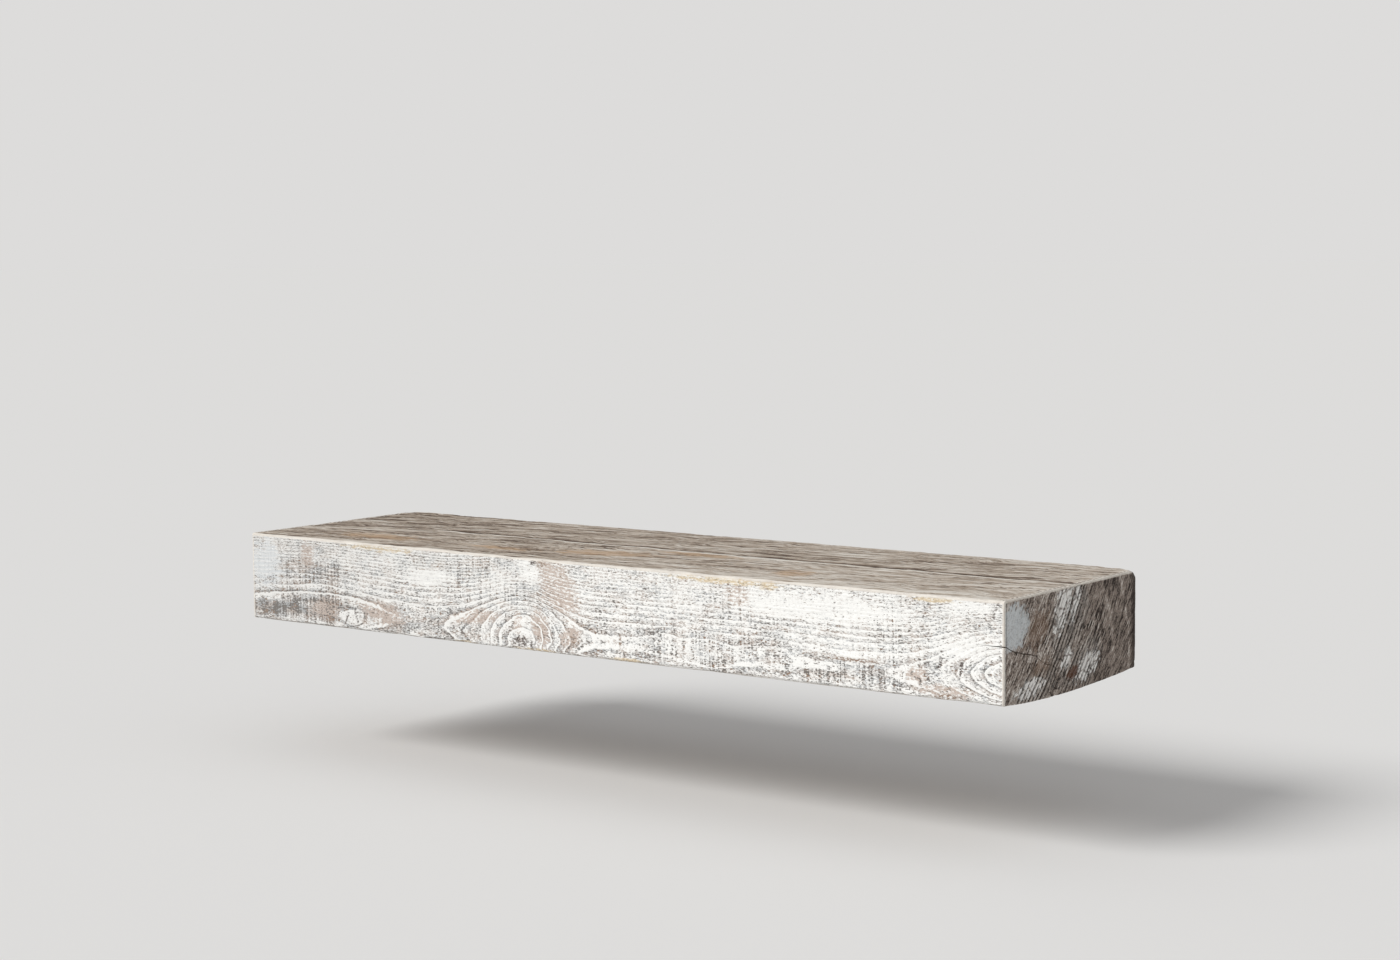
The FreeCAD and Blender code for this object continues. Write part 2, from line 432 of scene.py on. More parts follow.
def stroke_zone(place):
    """Where the saw tore deep strokes: over the middle of an end, and at its foot."""
    fray = place.noise(place.y / 14, place.z / 14, place.x / 90)
    near_deep = stroke_lines(place)[0].bell(DEEP_STROKES[1], 9.0) * place.x.ramp(-1.0, 1.0)
    return patches(place.behind, place.z, fray, STROKE_PLACES, soft=0.3).at_least(near_deep)


# %% [markdown]
# ## Painted front
# The front was painted white and rubbed down. The paint is thick on the hard edge of each ring,
# which stands up as a fine ridge, and thin between the ridges. It is gone in thousands of short
# flecks that lie along the grain and line up across the saw marks. In some places the pinkish
# bare wood shows. The layers are mixed in the order in which they lie: wood, thin paint, thick
# paint, and last the dark flecks.

# %% Colours of the front
WHITE = tone(253, 252, 248)
COOL_WHITE = tone(226, 231, 234)
PINKISH_PAINT = tone(202, 192, 184)
COOL_PAINT = tone(190, 191, 191)
BARE_WOOD = tone(203, 188, 177)
# SHADED_PAINT is painted shade: the front is darkened towards it at the left end.
SHADED_PAINT = tone(150, 146, 142)
FLECK = tone(112, 107, 102)
BROWN_FLECK = tone(146, 120, 100)
DARK_MARK = tone(88, 76, 70)
AMBER = tone(226, 205, 168)
CREAM = tone(252, 247, 235)

# %% [markdown]
# The places of these features come from looking at the real front. Each list is one kind of
# feature, in millimetres along and above the middle of the plank: cool and solid white, bare
# wood, rubbed stretches, clear saw marks, hills of rings, calm stretches, and small stains.

# %% Places on the front
COOL_PLACES = [(-385, 12, 20, 19)]
SOLID_PLACES = [
    (-385, 12, 20, 19), (-63, 26, 11, 9, -4), (-71, -20, 9, 7, -2), (233, 22, 80, 12),
    (371, 33, 20, 6), (-277, -29, 14, 8, 5), (-179, 14, 24, 7), (371, 2, 26, 8),
]
BARE_PLACES = [
    (-31, 15, 19, 24, -10), (-19, -25, 10, 11, 4), (-306, -24, 16, 10), (-236, -22, 24, 11, -10),
    (-51, -20, 10, 15, -4), (-77, -16, 4, 9), (-126, -16, 24, 7, 14), (324, -23, 9, 6),
    (-329, 24, 8, 12), (-45, 33, 8, 6), (156, 25, 12, 8), (347, -33, 22, 4),
]
WORN_PLACES = [
    (-343, -24, 50, 13), (-329, 6, 40, 12), (192, -28, 110, 11), (-179, -30, 60, 9),
    (342, -26, 40, 12), (19, -28, 60, 8),
]
SAWN_PLACES = [
    (120, -24, 50, 12), (254, -28, 60, 9), (-324, 6, 44, 16), (-324, -26, 50, 12),
    (-110, 10, 34, 28), (300, 4, 8, 30), (156, 20, 14, 16),
]
HILL_PLACES = [(-69, -20, 54, 30), (384, -14, 50, 34)]
CALM_PLACES = [(-195, -25, 46, 14), (-71, -33, 12, 9), (-385, 12, 26, 22)]
AMBER_PLACES = [
    (-236, 36, 34, 2.6), (140, 36, 50, 2.8), (339, 36, 18, 2.0), (185, 35.5, 9, 4),
    (-137, -39, 10, 1.2), (-55, -39, 20, 1.4), (42, -38.5, 14, 1.6),
]
BROWN_PLACES = [(-51, 35, 7, 3), (35, -23, 1.6, 7), (266, -17, 28, 1.8), (350, -38, 16, 3)]
DARK_PLACES = [
    (-59, 37, 3, 3.5, 2), (394, 36, 1.4, 4, 1.5), (391, 29, 1.2, 4), (-73, -33, 7, 4),
    (-61, -36, 2, 4), (344, -14, 1.4, 6, 1), (363, -14, 1.4, 6, 1), (-268, -27, 1.6, 7, -2),
    (-280, -31, 1.2, 5, 2),
]
print("front:", len(SOLID_PLACES), "solid and", len(BARE_PLACES), "bare patches")


# %% [markdown]
# The lines of grain are not equally strong. The ring that runs through as the two long lines
# stands out, so do the rings of the hills, and inside that ring the lines fade except on a hill.
# Five noises, drawn out along the grain, break everything up, as brushing and rubbing do.

# %% Noises of the front
class FrontNoise:
    """The noises that break up the paint: two fine ones, two slow ones and a frayed one."""

    def __init__(self, place, rings):
        x, z = place.x, place.z
        self.wool = place.noise(x / 3.0, rings * 1.3, z / 1.4, detail=3.0, roughness=0.65)
        self.dash = place.noise(x / 2.5, rings * 1.7, z / 1.08, roughness=0.6)
        self.cloud = place.noise(x / 40, z / 18, 8.0)
        self.tint = place.noise(x / 22, z / 9, 3.0, detail=3.0)
        self.fray = place.noise(x / 9, rings * 0.8, z / 4.0, detail=3.0, roughness=0.6)


# %% Grain lines of the front
STRONG_RING = 49.5


def front_grain(place, rings, late, noise):
    """The ridges and grooves that show as lines, what they add to the paint, and where the
    strong ring runs."""
    x, z = place.x, place.z
    strength = place.random_of(rings.math("FLOOR"))
    hill = patches(x, z, noise.cloud, HILL_PLACES, soft=0.35)
    calm = patches(x, z, noise.cloud, CALM_PLACES, soft=0.5)
    low = z.ramp(6.0, -14.0)
    strong = rings.math("FLOOR").bell(STRONG_RING, 0.8) * x.ramp(60.0, -60.0)
    inner = hill * rings.ramp(STRONG_RING - 0.5, STRONG_RING - 2.0)
    lines = 1.0 - z.ramp(0.0, 26.0) * x.ramp(-60.0, 60.0) * 0.6
    lines = lines * (1.0 - calm * 0.88)
    lines = lines * (1.0 - rings.ramp(STRONG_RING - 0.44, STRONG_RING - 0.56) * (1.0 - hill) * 0.95)
    clear = noise.fray.ramp(0.38, 0.56) * 0.6 + 0.4 + strong * 0.6 + hill * 0.6
    lines = lines * clear.at_most(1.0)
    crest = late.math("POWER", hill + low * 1.5 + strong * 3.0 + 1.0) * lines
    groove = groove_of(rings) * lines
    ridge = crest * (strength * 0.5 + 0.5 + strong * 1.5 + inner) * 0.55
    ridge = ridge - groove * (strong * 0.6 + inner * 0.3 + 0.16)
    return crest, groove, ridge, strong


# %% Small marks of the front
def front_marks(place, noise, thick, colour):
    """Lays the small stains over the front: brown, dark and amber."""
    x, z = place.x, place.z
    brown = patches(x, z, noise.fray * 0.4 + noise.dash * 0.6, BROWN_PLACES, soft=0.3)
    mark = patches(x, z, noise.fray * 0.2 + noise.wool * 0.8, DARK_PLACES, soft=0.4)
    amber = patches(x, z, noise.fray, AMBER_PLACES, soft=0.35) * thick.ramp(1.1, 0.4)
    return layered(colour, [
        (brown * noise.dash.ramp(0.42, 0.56) * 0.85, BROWN_FLECK),
        (mark * noise.dash.ramp(0.40, 0.52) * 0.9, DARK_MARK),
        (amber * 0.8, AMBER),
    ])


# %% Layers of the front
def painted_front(place, rings, late):
    """The colour of the front, and how thick the paint lies on it."""
    x, z = place.x, place.z
    noise = FrontNoise(place, rings)
    crest, groove, ridge, strong = front_grain(place, rings, late, noise)
    solid = patches(x, z, noise.fray, SOLID_PLACES, soft=0.3)
    bare = patches(x, z, noise.fray * 0.5 + noise.wool * 0.5, BARE_PLACES, soft=0.35)
    worn = patches(x, z, noise.cloud, WORN_PLACES, soft=0.35)
    cool = patches(x, z, noise.fray, COOL_PLACES, soft=0.3)
    sawn_share = patches(x, z, noise.cloud, SAWN_PLACES, soft=0.35) * 0.07 + 0.03
    sawn = (saw_marks(place) - 0.5) * sawn_share
    # The far left thins the paint, and also darkens the front there as painted shade.
    far_left = x.ramp(40.0, -420.0)

    thick = (noise.wool - 0.5) * 2.4 + (noise.cloud - 0.5) * 0.6 + ridge + solid * 0.3 + sawn
    thick = thick - bare * 0.26 - worn * (far_left * 0.16 + 0.02) + 0.52
    loss = noise.dash - sawn * 1.3 + worn * 0.03 - solid * 0.08 - crest * (strong * 0.3 + 0.12)
    loss = loss + groove * 0.02 - bare * 0.05 - (noise.cloud - 0.5) * 0.24
    loss = loss + z.ramp(10.0, -30.0) * 0.015 + strong * groove * 0.12
    fleck = loss.ramp(0.555, 0.65)

    colour = layered(PINKISH_PAINT, [
        (noise.tint.ramp(0.36, 0.62), COOL_PAINT),
        (bare, BARE_WOOD),
        ((thick + x.ramp(-100.0, 150.0) * 0.04).ramp(0.20, 0.78), WHITE),
        (cool * (1.0 - late * 0.5) * 0.75, COOL_WHITE),
        (fleck * 0.95, blend(noise.fray.ramp(0.52, 0.62), FLECK, BROWN_FLECK)),
    ])
    colour = front_marks(place, noise, thick, colour)
    # Painted shade: towards the left end the front is darkened to SHADED_PAINT.
    return blend(far_left * 0.22, colour, SHADED_PAINT), thick * 0.6 - fleck * 0.6


# %% [markdown]
# ## Weathered top
# The top lost its paint and turned grey-brown. Dark lines run along it where the rings are cut,
# with a pale film between them, and it is tan where it wore last. A small knot sits left of the
# middle, and a fine check runs along most of the top to the right end.

# %% Streaks of the top
TOP_BASE = tone(178, 163, 147)
TOP_DARK = tone(82, 66, 53)
TOP_PALE = tone(222, 216, 206)
TOP_TAN = tone(184, 150, 114)
FOOT_TONE = tone(96, 84, 72)
TAN_PLACES = [
    (-30, -158, 34, 18, 18), (181, -176, 15, 15), (-280, -175, 44, 14), (-128, -178, 36, 8),
    (46, -122, 40, 8),
]
KNOT_PLACES = [(-60, -118, 6, 4)]
CHECK_LINE_Y = -110.0
STREAK_SLANT = 0.32


def top_streaks(place, rings, late):
    """Height of the weathered top between its grooves (0) and its ridges (1)."""
    x, y = place.x, place.y
    strength = place.random_of(rings.math("FLOOR") + 40.0)
    drift = (place.noise(x / 50, y / 45, 7.0, detail=1.0) - 0.5) * 34.0
    along, across = x + y * STREAK_SLANT, y - x * STREAK_SLANT
    broad = place.noise(along / 120, across / 13, 5.0)
    slanted = place.noise(along / 60, across / 4.0, 6.0)
    streak = place.noise(x / 100, (y + drift) / 3.2, rings * 0.12, roughness=0.55)
    grain = place.noise(x / 50, y / 1.2, rings * 0.5)
    fine = place.noise(x / 12, y / 0.9, rings * 0.9, roughness=0.6)
    wave = (place.noise(x / 60, 1.0, 2.0, detail=1.0) - 0.5) * 14.0
    reach = x.ramp(-275.0, -250.0)
    check = (y - wave).bell(CHECK_LINE_Y, 2.0) * reach
    shade = (y - wave).bell(CHECK_LINE_Y + 7.0, 4.0) * reach
    value = (broad - 0.5) * 1.2 + (slanted - 0.5) * 1.5 + (streak - 0.5) * 2.0
    value = value + (grain - 0.5) * 1.2 + (fine - 0.5) * 0.8
    value = value - x.ramp(-150.0, -400.0) * y.ramp(-120.0, -20.0) * 0.14
    return value - late * (strength * 0.35 + 0.08) + check * 0.9 - shade * 0.5 + 0.63


# %% Colour of the top
def weathered_top(place, rings, late):
    """The colour of the top, and its height between grooves and ridges."""
    x, y = place.x, place.y
    value = top_streaks(place, rings, late)
    fray = place.noise(x / 16, y / 5, 3.0)
    film = place.behind.ramp(70.0, 6.0) * x.ramp(-50.0, 300.0) * 0.22
    filmed = value + (film + x.ramp(-400.0, 400.0) * 0.12 - 0.09)
    tan = patches(x, y, fray, TAN_PLACES, soft=0.5) * value.ramp(0.0, 0.5)
    return layered(TOP_DARK, [
        (filmed.ramp(0.05, 0.60), TOP_BASE),
        (filmed.ramp(0.50, 1.10), TOP_PALE),
        (tan * 0.6, TOP_TAN),
        (patches(x, y, fray, KNOT_PLACES) * 0.8, TOP_DARK),
        (place.from_end.bell(3.0, 0.6) * 0.7, TOP_DARK),
        (place.z.ramp(10.0, -10.0) * 0.35, FOOT_TONE),
    ]), value


# %% [markdown]
# ## Sawn ends
# End grain drinks in dirt, so it is the darkest face. Circles of rings show in it, crossed by
# fibres that the saw tore out in slanted strokes. Smears of paint sit on the wood between the
# strokes, there is a flat blue-grey patch at the top front corner, and a rust spot beside the
# heart. The left end gets the same treatment with its own noise.

# %% Colours and places of the ends
END_BASE = tone(150, 137, 127)
END_DARK = tone(44, 35, 30)
END_LIGHT = tone(224, 217, 209)
END_BROWN = tone(138, 112, 92)
END_PAINT = tone(250, 248, 244)
END_BLUE = tone(212, 217, 219)
RUST = tone(84, 48, 26)
SMEARS = [
    (93, 22, 12, 18, 8), (96, 34, 12, 5), (100, -17, 8, 7, 4), (132, -27, 16, 11, 8),
    (42, -32, 20, 7, 6), (114, 26, 6, 14, 7),
]
BLUE_PATCH = [(14, 22, 19, 14), (26, 18, 12, 13), (12, 8, 12, 8)]
HATCHED_PLACES = [(56, 8, 22, 26, 10), (150, 0, 20, 20, 6)]
END_BROWN_PLACES = [(52, 12, 16, 14, 8), (60, -20, 16, 8)]
RUST_PLACES = [(109, -29, 9, 5, 3)]
PITH_FROM_FRONT = 84.5
PITH_Z = -26.5
print("ends:", len(SMEARS), "smears of paint")


# %% Noises and fibres of the ends
class EndNoise:
    """The noises of an end. Two of them are drawn out along the strokes of the saw."""

    def __init__(self, place):
        across, along = stroke_lines(place)
        y, z, depth = place.y, place.z, place.x / 90
        self.hatch = place.noise(across / 1.7, along / 11, depth, roughness=0.6)
        self.speck = place.noise(y / 2.2, z / 1.5, place.x / 3, detail=3.0, roughness=0.7)
        self.cloud = place.noise(y / 22, z / 22, place.x / 40)
        self.fray = place.noise(across / 4.0, along / 7, depth, detail=3.0, roughness=0.6)
        self.broken = place.cracks(across / 9, along / 16, depth)


def heart_circles(place, noise):
    """The dark circles round the pith of the tree, at three distances from it."""
    down = place.z - PITH_Z
    across_heart = place.behind - PITH_FROM_FRONT
    from_pith = (down * down + across_heart * across_heart).math("SQRT") + (noise.cloud - 0.5) * 5.0
    faint = (from_pith.bell(4.0, 0.8) + from_pith.bell(18.0, 0.9)) * noise.fray.ramp(0.45, 0.55)
    return from_pith.bell(11.5, 0.8) + faint


def end_fibres(place, rings, late, noise):
    """Height of the end grain between its dark gaps (0) and its pale fibres (1)."""
    behind = place.behind
    out = rings * RING_WIDTH
    hatched = patches(behind, place.z, noise.cloud, HATCHED_PLACES, soft=0.5)
    at_back = behind.ramp(105.0, 150.0)
    arcs = (out.bell(97.0, 2.5) + out.bell(123.0, 2.0)) * behind.ramp(150.0, 165.0)
    arcs = arcs * noise.cloud.ramp(0.40, 0.55)
    value = (noise.hatch - 0.5) * (hatched * 1.4 + 2.4 - at_back * 0.3)
    value = value + (noise.speck - 0.5) * (1.7 - at_back * 0.8) + (noise.cloud - 0.5) * 0.5
    value = value - heart_circles(place, noise) * 0.5 - late * 0.06 - at_back * 0.15
    return value + arcs * 0.32 + behind.ramp(40.0, 5.0) * 0.12 + 0.47


# %% Layers of the ends
def sawn_end(place, rings, late):
    """The colour of an end, and its height between the torn grooves."""
    behind, z = place.behind, place.z
    noise = EndNoise(place)
    fray, speck = noise.fray, noise.speck
    strokes = end_strokes(place)
    zone = stroke_zone(place)
    value = end_fibres(place, rings, late, noise)
    brown = patches(behind, z, fray, END_BROWN_PLACES, soft=0.4)
    whole = noise.broken.ramp(0.02, 0.10)
    spread = patches(behind, z, fray, SMEARS)
    smear = spread * (strokes * 0.7 + 0.4).at_most(1.0) * (whole * 0.8 + 0.2)
    smear = smear * (speck * 0.8 + 0.6).at_most(1.0)
    blue = patches(behind, z, fray * 0.7 + speck * 0.3, BLUE_PATCH)
    blue = blue * (speck * 1.6 + noise.cloud * 0.6 - 0.15).clamped()
    stain = patches(behind, z, fray * 0.5 + speck * 0.5, RUST_PLACES, soft=0.3)
    # Painted shade: a dark band on the back corner of an end, where it rounds towards the wall.
    wall_corner_shade = behind.ramp(205.0, 212.0) * behind.ramp(219.0, 214.0)
    colour = layered(END_DARK, [
        (value.ramp(0.0, 0.52), END_BASE),
        (value.ramp(0.50, 1.10), END_LIGHT),
        (brown * 0.45, END_BROWN),
        ((1.0 - strokes) * zone * 0.95, END_DARK),
        (strokes * zone * 0.25, END_LIGHT),
        (spread * (1.0 - spread) * 2.8, END_DARK),
        (smear * 0.95, END_PAINT),
        (blue * 0.9, END_BLUE),
        (stain * 0.85, RUST),
        # Painted shade on the back corner, and a thin darker line just behind the front edge.
        (wall_corner_shade * 0.8 + behind.bell(3.6, 0.9) * 0.5, END_DARK),
    ])
    return colour, value * 0.5 + strokes * zone * 0.9 + smear * 0.2


# %% [markdown]
# ## Inside and behind
# The recess and the bores were cut later, so their wood is still the colour of fresh softwood.
# The back was never painted or weathered much, and the underside is like the top, but darker.

# %% Fresh wood and the back
FRESH = tone(214, 188, 150)
FRESH_DARK = tone(176, 142, 102)
BACK_GREY = tone(168, 152, 134)
BACK_DARK = tone(104, 90, 76)


def fresh_cut(place, late):
    """The colour of clean wood, greyed on the back, and the height of its fibres."""
    fibre = place.noise(place.x / 14, place.y / 1.4, place.z / 1.0, detail=3.0)
    streak = place.noise(place.x / 40, place.z / 2.2, place.y / 9, detail=3.0)
    fresh = blend((late * 0.5 + fibre * 0.6).clamped(), FRESH, FRESH_DARK)
    grey = blend((streak.ramp(0.3, 0.7) * 0.6 + late * 0.3).clamped(), BACK_GREY, BACK_DARK)
    return blend((-place.y).ramp(2.0, 1.0) * 0.62, fresh, grey), fibre


# %% [markdown]
# ## One material for the plank
# Each finish becomes a coat: a shader with its own colour, roughness and fine bump. The distances
# from the faces lay one coat over another, so the coats meet along the worn edges. Where a coat
# covers a place fully, the renderer skips those below it. The last coat is the cream wood of the
# worn edges themselves.

# %% Coats
BUMP_DISTANCE = 0.7 * MM


def made_material(name, surface_in):
    """A material whose surface a function builds in an empty node tree."""
    material = bpy.data.materials.new(name)
    material.use_nodes = True
    tree = material.node_tree
    tree.nodes.clear()
    surface = surface_in(tree)
    surface.node("ShaderNodeOutputMaterial", {}, {"Surface": surface})
    print(name + ":", len(tree.nodes), "nodes")
    return material


def coat(colour, rough, height, strength):
    """One coat of the finish: a shader with a colour, a roughness and a fine bump."""
    inputs = {"Strength": strength, "Distance": BUMP_DISTANCE, "Height": height}
    bump = height.node("ShaderNodeBump", {}, inputs)
    inputs = {"Base Color": colour, "Roughness": rough, "Normal": bump, "Specular IOR Level": 0.3}
    return height.node("ShaderNodeBsdfPrincipled", {}, inputs)


def worn_edges(place):
    """Where the edges are worn to bright cream wood: the front's edges and the top's ends."""
    fray = place.noise(place.x / 14, place.y / 3, place.z / 3, detail=3.0)
    top_arris = place.below_top.ramp(3.2, 1.8) * place.behind.ramp(3.4, 2.2) * fray.ramp(0.2, 0.4)
    end_arris = place.from_end.ramp(2.2, 1.2) * place.behind.ramp(2.6, 1.4)
    end_top = place.from_end.ramp(2.4, 1.6) * place.below_top.ramp(2.2, 1.2)
    second_line = place.from_end.bell(4.6, 0.8) * place.below_top.ramp(2.0, 1.0) * 0.8
    return (top_arris + end_arris + end_top + second_line).at_most(1.0) * 0.92, fray


# %% The whole finish
def plank_coats(place):
    """The innermost coat of the plank, and the ones over it with where each lies."""
    rings = rings_from_heart(place)
    late = late_wood(rings)
    front, front_height = painted_front(place, rings, late)
    front_rough = 0.88 - front_height.ramp(0.4, 0.9) * 0.18
    front_height = front_height * 0.5 + saw_marks(place) * 0.15 + late * 0.2
    top, top_height = weathered_top(place, rings, late)
    top = coat(top, 0.88, top_height * 0.8, 0.8)
    end, end_height = sawn_end(place, rings, late)
    inside, inside_height = fresh_cut(place, late)
    edge_share, edge_height = worn_edges(place)
    edge = blend(edge_height, PINKISH_PAINT, CREAM)
    on_top = place.below_top.ramp(2.6, 1.4)
    on_end = place.from_end.ramp(2.4, 1.4)
    round_corner = place.behind.ramp(210.0, 211.5) * place.from_end.ramp(8.5, 7.0)
    return coat(inside, 0.8, inside_height * 0.3, 0.5), [
        (on_top.at_least(place.above_foot.ramp(3.0, 1.6)), top),
        (on_end.at_least(round_corner), coat(end, 0.92, end_height, 0.9)),
        (on_top, top),
        (place.behind.ramp(3.0, 1.6), coat(front, front_rough, front_height, 0.8)),
        (edge_share, coat(edge, 0.8, edge_height, 0.6)),
    ]


def plank_surface(tree):
    """The coats of the plank, laid over each other from the inside out."""
    surface, layers = plank_coats(object_place(tree).measure())
    for share, over in layers:
        surface = share.node("ShaderNodeMixShader", {}, {0: share, 1: surface, 2: over})
    return surface


# %% [markdown]
# ## The plank's mesh
# The plank is a rule-made shape: a block whose edges are worn round by different amounts, with a
# cupped underside, and a relief that follows the growth rings. Weather eats soft wood faster than
# hard wood, so the rings stand up. A Geometry Nodes tree makes it from a gridded block, whose
# points crowd towards the edges, where the rounding needs them. Sculpting or a displacement image
# could do the same, but a rule keeps the sizes exact and can be changed.

# %% Grid and rounding
GRID = (480, 150, 84)
CROWDING = (1.15, 1.3, 1.15)


def crowded(coordinate, power):
    """Moves grid points towards the two edges. Coordinates run from -0.5 to 0.5."""
    edge_share = 1.0 - abs(coordinate) * 2.0
    kept = (1.0 - edge_share.at_least(0.0) ** power) * 0.5
    return kept * coordinate.math("SIGN")


def worn_corner(first, second, half_first, half_second, radius):
    """Rounds the corners of a rectangle: pulls both coordinates onto arcs of the radius."""
    inner_first = half_first - radius
    inner_second = half_second - radius
    past_first = (abs(first) - inner_first).at_least(0.0)
    past_second = (abs(second) - inner_second).at_least(0.0)
    length = (past_first * past_first + past_second * past_second).math("SQRT")
    pull = past_first.at_least(past_second) / length.at_least(0.0001)
    inside = length.math("LESS_THAN", 0.0002)
    keep = pull + inside * (1.0 - pull)
    new_first = (abs(first).at_most(inner_first) + past_first * keep) * first.math("SIGN")
    new_second = (abs(second).at_most(inner_second) + past_second * keep) * second.math("SIGN")
    return new_first, new_second


# %% Relief
RING_RELIEF = 0.34
FIBRE_RELIEF = 0.2
SAW_RELIEF = 0.12
TOP_RELIEF = 0.7
STROKE_RELIEF = 1.0
END_RING_RELIEF = 0.12
DENT_RELIEF = 0.6
LEAST_RELIEF = 0.05


def plank_relief(place):
    """How deep the weathered surface lies below the sawn one, in millimetres."""
    rings = rings_from_heart(place)
    late = late_wood(rings)
    fibres = place.noise(place.x / 18, place.y / 2.2, place.z / 2.2, detail=3.0)
    dents = place.noise(place.x / 46, place.y / 26, place.z / 26, roughness=0.6)
    on_front = place.behind.ramp(3.0, 1.6)
    on_top = place.below_top.ramp(2.6, 1.4)
    on_end = place.from_end.ramp(3.0, 0.6)
    front_face = (1.0 - late) * RING_RELIEF + fibres * FIBRE_RELIEF
    front_face = front_face + (1.0 - saw_marks(place)) * SAW_RELIEF
    top_face = (0.9 - top_streaks(place, rings, late)).clamped() * TOP_RELIEF
    strokes = (1.0 - end_strokes(place)) * stroke_zone(place)
    end_face = strokes * STROKE_RELIEF + (1.0 - late) * END_RING_RELIEF
    long_face = (front_face * on_front + top_face * on_top * (1.0 - on_front)) * (1.0 - on_end)
    return long_face + end_face * on_end + dents.ramp(0.5, 0.8) * DENT_RELIEF + LEAST_RELIEF


# %% The worn block
PLANK_SIZES = {"Length": LENGTH, "Depth": DEPTH, "Height": HEIGHT, "Top wear": 2.5,
               "Bottom wear": 3.0, "End wear": 1.2, "Back corner": 7.0}


def worn_block(grid, sizes):
    """Where each point of the grid lies on the worn block: three fields, in millimetres."""
    length, depth, height = sizes["Length"], sizes["Depth"], sizes["Height"]
    end_wear, back_corner = sizes["End wear"], sizes["Back corner"]
    x = crowded(grid.x, CROWDING[0]) * length
    y = crowded(grid.y, CROWDING[1]) * depth
    z = crowded(grid.z, CROWDING[2]) * height

    uneven = grid.noise(x / 31, y.math("SIGN") * 5.0, z.math("SIGN") * 5.0, detail=3.0) * 1.7 + 0.1
    uneven_end = grid.noise(y / 17, z / 17, x.math("SIGN") * 5.0) * 1.4 + 0.3
    at_back = y.ramp(-1.0, 1.0)
    at_top = z.ramp(-1.0, 1.0)
    front_wear = sizes["Top wear"] * at_top + sizes["Bottom wear"] * (1.0 - at_top)
    near_end = (abs(x) / length).ramp(0.478, 0.494)
    back_wear = end_wear + (back_corner - end_wear) * near_end
    long_wear = front_wear * (1.0 - at_back) + back_wear * at_back
    long_wear = long_wear * (uneven + (1.0 - uneven) * near_end * at_back)
    plan_wear = back_corner * (uneven_end * 0.2 + 0.8) * at_back
    plan_wear = plan_wear + end_wear * uneven_end * (1.0 - at_back)

    x, y = worn_corner(x, y, length * 0.5, depth * 0.5, plan_wear)
    y, z = worn_corner(y, z, depth * 0.5, height * 0.5, long_wear)
    near_corner = y.ramp(depth * 0.5 - 16.0, depth * 0.5 - 4.0) * at_top
    cross_wear = end_wear * uneven_end * (1.0 - near_corner) + back_corner * near_corner
    x, z = worn_corner(x, z, length * 0.5, height * 0.5, cross_wear)
    y = y - depth * 0.5
    return x, y, z - cup_at(y) * (z / height * -2.0).at_least(0.0)


# %% Node tree of the plank
def plank_tree(finish):
    """Geometry nodes: a gridded block, worn round, lowered by its relief, and given its finish."""
    tree = bpy.data.node_groups.new("weathered_plank", "GeometryNodeTree")
    sockets = tree.interface
    sockets.new_socket("Geometry", in_out="OUTPUT", socket_type="NodeSocketGeometry")
    for name in PLANK_SIZES:
        sockets.new_socket(name, in_out="INPUT", socket_type="NodeSocketFloat")
    start = Field(tree)
    given = start.node("NodeGroupInput").socket.node
    sizes = {name: Field(tree, given.outputs[name]) for name in PLANK_SIZES}

    counts = dict(zip(("Vertices X", "Vertices Y", "Vertices Z"), GRID))
    block = start.node("GeometryNodeMeshCube", {}, {"Size": (MM, MM, MM), **counts})
    grid = mesh_place(tree)
    x, y, z = worn_block(grid, sizes)
    spot = grid.spot(x * MM, y * MM, z * MM)
    shaped = start.node("GeometryNodeSetPosition", {}, {"Geometry": block, "Position": spot})
    inwards = plank_relief(mesh_place(tree).measure()) * -MM
    normal = start.node("GeometryNodeInputNormal")
    offset = start.node("ShaderNodeVectorMath", {"operation": "SCALE"}, {0: normal, 3: inwards})
    weathered = start.node("GeometryNodeSetPosition", {}, {"Geometry": shaped, "Offset": offset})
    smooth = start.node("GeometryNodeSetShadeSmooth", {}, {"Geometry": weathered})
    real = start.node("GeometryNodeRealizeInstances", {}, {"Geometry": smooth})
    dressed = start.node("GeometryNodeSetMaterial", {}, {"Geometry": real, "Material": finish})
    dressed.node("NodeGroupOutput", {}, {"Geometry": dressed})
    print("weathered_plank:", len(tree.nodes), "nodes")
    return tree


# %% [markdown]
# ## Cutting the recess, the bores and the check
# The back of the plank is routed out for the bar, and bored for the rods. Two stepped holes come
# up from below for the locking screws. The drying check in the right end is a thin wedge of air
# that follows a few turns from the front face to the heart. Each is a closed cutter, and a
# Boolean modifier takes them all out of the plank at once.

# %% Helpers for closed solids
SAME_PLACE = 1e-7


def mesh_object(name, build, home=bpy.context.scene.collection):
    """An object whose mesh a function builds with bmesh, with doubles merged."""
    mesh = bpy.data.meshes.new(name)
    work = bmesh.new()
    build(work)
    bmesh.ops.remove_doubles(work, verts=work.verts, dist=SAME_PLACE)
    bmesh.ops.recalc_face_normals(work, faces=work.faces)
    work.to_mesh(mesh)
    work.free()
    return add_object(name, mesh, home)


def add_loft(work, near, far):
    """A closed solid between two rings that have the same number of points."""
    near = [work.verts.new(point) for point in near]
    far = [work.verts.new(point) for point in far]
    work.faces.new(near)
    work.faces.new(far[::-1])
    for index in range(len(near)):
        after = (index + 1) % len(near)
        work.faces.new((near[index], near[after], far[after], far[index]))


